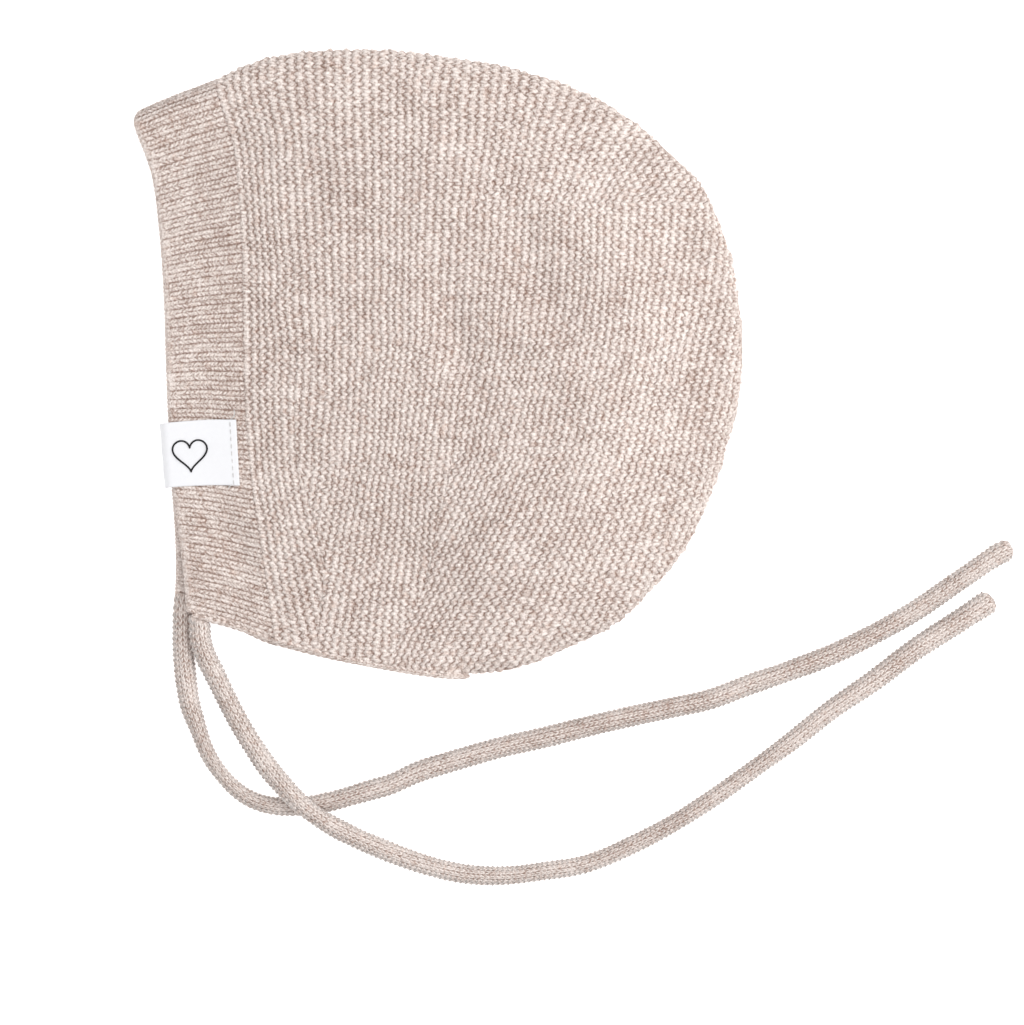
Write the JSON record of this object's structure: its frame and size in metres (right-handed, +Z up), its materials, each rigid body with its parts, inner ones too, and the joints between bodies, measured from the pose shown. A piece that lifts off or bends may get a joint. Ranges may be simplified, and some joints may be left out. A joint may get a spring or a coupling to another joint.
{
  "type": "baby bonnet",
  "caption": "Knitted baby bonnet lying flat on its side, with a garter crown, a rib band round the face, a folded side label and knitted neck ties.",
  "frame": {"origin": "centre of the bonnet's own box, without its ties, on the surface that it lies on", "axes": "+Z up from the surface through both layers, +Y towards the top of the head, -X the way the face looks"},
  "size_m": [0.2462, 0.2325, 0.0268],
  "materials": {
    "garter_knit": "soft beige melange wool in garter stitch",
    "rib_knit": "soft beige melange wool in fine rib",
    "edging_knit": "bound-off edge of the same wool",
    "label_tape": "matt white woven tape",
    "tie_knit": "knitted tube of the same wool"
  },
  "bodies": {
    "root": {"crown": "garter_knit", "front_band": "rib_knit", "neck_edging": "edging_knit", "label": "label_tape", "tie_near": "tie_knit", "tie_far": "tie_knit"}
  },
  "joints": []
}
